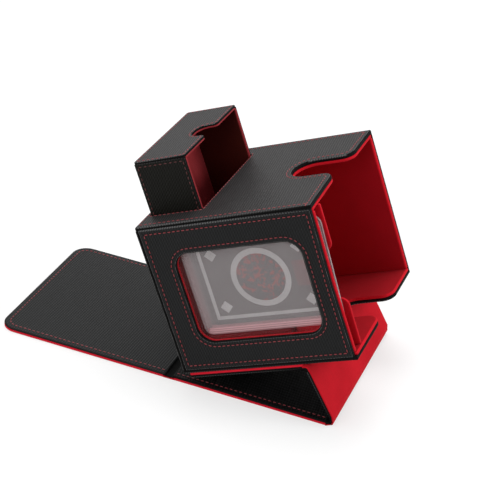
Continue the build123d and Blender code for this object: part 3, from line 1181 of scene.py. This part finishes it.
# %% Sewn rows
for (body, shade), rows in seams.items():
    if not rows:
        continue
    verts, edges = [], []
    for points, closed in rows:
        first = len(verts)
        verts += points
        edges += [(first + i, first + i + 1) for i in range(len(points) - 1)]
        if closed:
            edges.append((first + len(points) - 1, first))
    lines = bpy.data.meshes.new("seam_lines")
    lines.from_pydata(verts, edges, [])
    carrier = show(bpy.data.objects.new("seam_lines", lines))
    modifier = carrier.modifiers.new("stitches", "NODES")
    modifier.node_group = stitch_rows[shade]
    for item in stitch_rows[shade].interface.items_tree:
        if item.in_out == "INPUT" and item.name in stitch_sizes:
            modifier[item.identifier] = stitch_sizes[item.name]
    evaluated = carrier.evaluated_get(bpy.context.evaluated_depsgraph_get())
    sewn = bpy.data.meshes.new_from_object(evaluated)
    bpy.data.objects.remove(carrier)
    sewn.name = f"{body}_stitches" if shade == "bright" else f"{body}_{shade}_stitches"
    piece = show(bpy.data.objects.new(sewn.name, sewn))
    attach(piece, body)
    print(piece.name, len(sewn.polygons), "faces")

# %% [markdown]
# The card behind the window carries a plain design: a pale ring round a dark field with red flecks,
# a lozenge near each corner and a thin border. It is drawn with shader maths on the card's own
# directions, so no image is needed.

# %% Printed card
ring_inside, ring_outside = 17 * MM, 21 * MM
border_outside, border_inside = 3.5 * MM, 6.0 * MM
lozenge_up, lozenge_out, lozenge_half = 31 * MM, 19 * MM, 4.5 * MM
tint_low, tint_high, tint_half = 24 * MM, 38 * MM, 9 * MM
fleck_level = 0.52
card_pink = (0.30, 0.08, 0.08, 1)
card_reds = ((0.16, 0.035, 0.035, 1), (0.42, 0.05, 0.04, 1))


def placed(finish, node):
    """Place on a node, and distances along its height and width from its middle."""
    place = finish.place()
    runs = []
    for direction in (HEIGHT, WIDTH):
        low, high = span(node, direction)
        dot = {"operation": "DOT_PRODUCT"}
        run = finish.add("ShaderNodeVectorMath", dot, {0: place, 1: tuple(direction)}, "Value")
        runs.append(run - (low + high) / 2)
    return place, *runs


def half_sizes(node):
    return [(high - low) / 2 for low, high in (span(node, HEIGHT), span(node, WIDTH))]


def band(value, low, high):
    return value.apply("GREATER_THAN", low) * value.apply("LESS_THAN", high)


def card_finish():
    finish = Finish("card_print")
    place, h, w = placed(finish, "display_card")
    half_h, half_w = half_sizes("display_card")
    up, out = h.apply("ABSOLUTE"), w.apply("ABSOLUTE")
    wash = finish.noise(place, 120, 4)
    ink = finish.noise(place, 420, 5)
    radius = (h * h + w * w).apply("SQRT")
    medal = radius.apply("LESS_THAN", ring_inside)
    ring = band(radius, ring_inside, ring_outside)
    border = band((half_h - up).apply("MINIMUM", half_w - out), border_outside, border_inside)
    lozenge = (up - lozenge_up).apply("ABSOLUTE") + (out - lozenge_out).apply("ABSOLUTE")
    corners = lozenge.apply("LESS_THAN", lozenge_half)
    splash = (ink * 0.6 + wash * 0.4).apply("GREATER_THAN", fleck_level) * medal
    tint = band(h, tint_low, tint_high) * band(w, -tint_half, tint_half) * wash
    paper = finish.mix(wash, grey(0.075), grey(0.13))
    field = finish.mix(ink, grey(0.04), grey(0.08))
    ground = finish.mix(medal, finish.mix(tint, paper, card_pink), field)
    pale = ring.apply("MAXIMUM", border).apply("MAXIMUM", corners)
    framed = finish.mix(pale, ground, finish.mix(wash, grey(0.60), grey(0.76)))
    return finish.surface({
        "Base Color": finish.mix(splash, framed, finish.mix(ink, *card_reds)),
        "Roughness": 0.4 + wash * 0.1,
    })


paint(card_finish(), "display_card")
print("card", [round(2 * half / MM, 1) for half in half_sizes("display_card")], "mm")

# %% [markdown]
# The clear case round the card could be real glass, but light through so many thin layers is slow and
# noisy. It is drawn like the card instead: thin veils that paint the case's haze together with its
# reflection of the bright room, and pale lines as a painted highlight where its bevelled border
# catches the light. Behind the card a denser, darker veil paints the shade inside the case.

# %% Finish of the clear case
case_trim = 2.5 * MM
case_round = 7 * MM
case_border = 5.6 * MM
end_squeeze = 1.6
line_pitch = 1.5 * MM
face_depth = 0.6 * MM
case_shine = (0.86, 0.50, 0.53, 1)


def case_finish(name, node, veil, low, high, clear_from):
    """Clear plastic whose rounded border is drawn in pale lines, closer together at its ends."""
    finish = Finish(name)
    place, h, w = placed(finish, node)
    half_h, half_w = half_sizes(node)
    smear = finish.noise(place, smear_scale, 3)
    end_gap = half_h - case_trim - h.apply("ABSOLUTE")
    side_gap = half_w - w.apply("ABSOLUTE")
    short = (case_round - end_gap * end_squeeze).apply("MAXIMUM", 0)
    long = (case_round - side_gap).apply("MAXIMUM", 0)
    depth = case_round - (short * short + long * long).apply("SQRT")
    border = depth.apply("LESS_THAN", case_border) * (long.apply("GREATER_THAN", short) * 0.75 + 0.25)
    lines = ((depth * (2 * pi / line_pitch)).apply("SINE") * 0.5 + 0.5) * border
    depth_run = finish.add("ShaderNodeSeparateXYZ", {}, {"Vector": place}, "Y")
    outer = depth_run.apply("LESS_THAN", clear_from)
    face = depth_run.apply("LESS_THAN", span(node, DEPTH)[0] + face_depth)
    return finish.surface({
        "Base Color": finish.mix(border, finish.mix(smear, low, high), case_shine),
        "Roughness": 0.08 + smear * 0.06,
        "Alpha": (veil + (lines * 0.3 + border * 0.15) * face) * outer,
    })


card_gap = 0.3 * MM
whole_case = 1
# The front veil paints haze and reflection; the darker back veil paints the shade inside the case.
front_veils = ((0.56, 0.49, 0.50, 1), (0.68, 0.60, 0.61, 1))
back_veils = ((0.24, 0.21, 0.215, 1), (0.32, 0.29, 0.295, 1))
case_front = span("display_card", DEPTH)[0] - card_gap
cases = {
    "front": (-DEPTH, case_finish("clear_case", "holder_front", 0.2, *front_veils, case_front)),
    "back": (DEPTH, case_finish("clear_back", "holder_back", 0.75, *back_veils, whole_case)),
}
print("case halves", len(cases))

# %% [markdown]
# The case itself is two rounded slabs. It stands a little askew in its slot, so its end at the mouth
# is cut at a slant. Two small steel plates, the catch that holds its halves together, sit inside it.

# %% Clear case and its catch
case_depth = 2.6 * MM
case_roll = 1.4 * MM
case_corner = 6 * MM
case_slant = 1.5 * MM
stop_trim = 1.2 * MM
plate_roll = 0.2 * MM

for name, (outward, material) in cases.items():
    flat = Flat(f"holder_{name}", outward, HEIGHT)
    edge = rectangle(flat, f"holder_{name}", (stop_trim, case_trim))
    slant = case_slant * flat.along.dot(WIDTH)
    edge[1].x -= slant
    edge[2].x += slant
    slab_piece(
        f"holder_{name}_case", (material, "card_holder", "clear_plastic"), (f"holder_{name}",),
        flat, [edge], case_depth, case_roll, leather_turn, corner=case_corner,
    )
plate_shift = case_trim + case_roll
for name in ("holder_keeper", "holder_magnet"):
    flat = Flat(name, -DEPTH, HEIGHT)
    catch = rectangle(flat, name, (-plate_shift, plate_shift))
    slab_piece(
        f"{name}_plate", (steel, "card_holder", "magnet_steel"), (name,),
        flat, [catch], flat.thick, plate_roll, plate_roll,
    )

# %% [markdown]
# The stage is a pale floor under a wide soft sky. The floor is a little brighter for the camera than
# for the object, so it reads as white and still holds the soft shadow.

# %% Floor
floor_radius = 6
floor_segments = 64
floor_glow = 0.56
white = grey(1)


def seen_by(tree):
    """1 for what the camera sees, also in mirrors and through glass, and 0 for light on the object."""
    path = tree.add("ShaderNodeLightPath", {}, {}, "Is Camera Ray")
    seen = path
    for label in ("Is Glossy Ray", "Is Transmission Ray"):
        seen = seen.apply("MAXIMUM", path.output(label))
    return seen


def floor_finish():
    finish = Finish("floor")
    dust = finish.noise(finish.place(), 3, 2)
    base = finish.mix(dust, grey(0.44), grey(0.46))
    ground = finish.add("ShaderNodeBsdfDiffuse", {}, {"Color": base}, "BSDF")
    glow = {"Color": white, "Strength": seen_by(finish) * floor_glow}
    glow = finish.add("ShaderNodeEmission", {}, glow, "Emission")
    return finish.end(finish.add("ShaderNodeAddShader", {}, {0: ground, 1: glow}, 0))


floor_mesh = bmesh.new()
bmesh.ops.create_circle(floor_mesh, cap_ends=True, radius=floor_radius, segments=floor_segments)
floor_data = bpy.data.meshes.new("floor")
floor_mesh.to_mesh(floor_data)
floor_mesh.free()
floor_data.materials.append(floor_finish())
floor = show(bpy.data.objects.new("floor", floor_data))
print("floor radius", floor_radius, "m")

# %% [markdown]
# The sky lights the object softly from all sides. The camera, and what mirrors or passes light, sees
# it white, while its light on the object stays weaker, so that dark leather keeps its colour.

# %% Sky
sky_strength = 0.38

world = bpy.data.worlds.new("sky")
bpy.context.scene.world = world
world.use_nodes = True
sky = Tree(world.node_tree)
steps = {"Value": seen_by(sky), "To Min": sky_strength, "To Max": 1.0}
strength = sky.add("ShaderNodeMapRange", {}, steps, "Result")
light = sky.add("ShaderNodeBackground", {}, {"Color": white, "Strength": strength}, "Background")
sky.add("ShaderNodeOutputWorld", {}, {"Surface": light})
print("sky strength", sky_strength)

# %% [markdown]
# Four large soft lamps give the leather's grain and the rolled edges some shape. Small lamps would
# leave hard glints on it instead.

# %% Lamps
lamps = {
    "top": ((-0.3, 0.35, 1.6), 16, 1.2),
    "side": ((1.4, 0.3, 0.9), 13, 0.9),
    "back": ((-0.9, 1.4, 0.8), 2, 1.0),
    "front": ((-0.5, -1.6, 0.9), 12, 1.4),
}
for name, (place, power, size) in lamps.items():
    data = bpy.data.lights.new(name, "AREA")
    data.energy = power
    data.size = size
    lamp = show(bpy.data.objects.new(name, data))
    lamp.location = place
    lamp.rotation_euler = (view_target - Vector(place)).to_track_quat("-Z", "Y").to_euler()
bpy.context.scene.view_settings.view_transform = "Standard"
print("lamps", len(lamps))
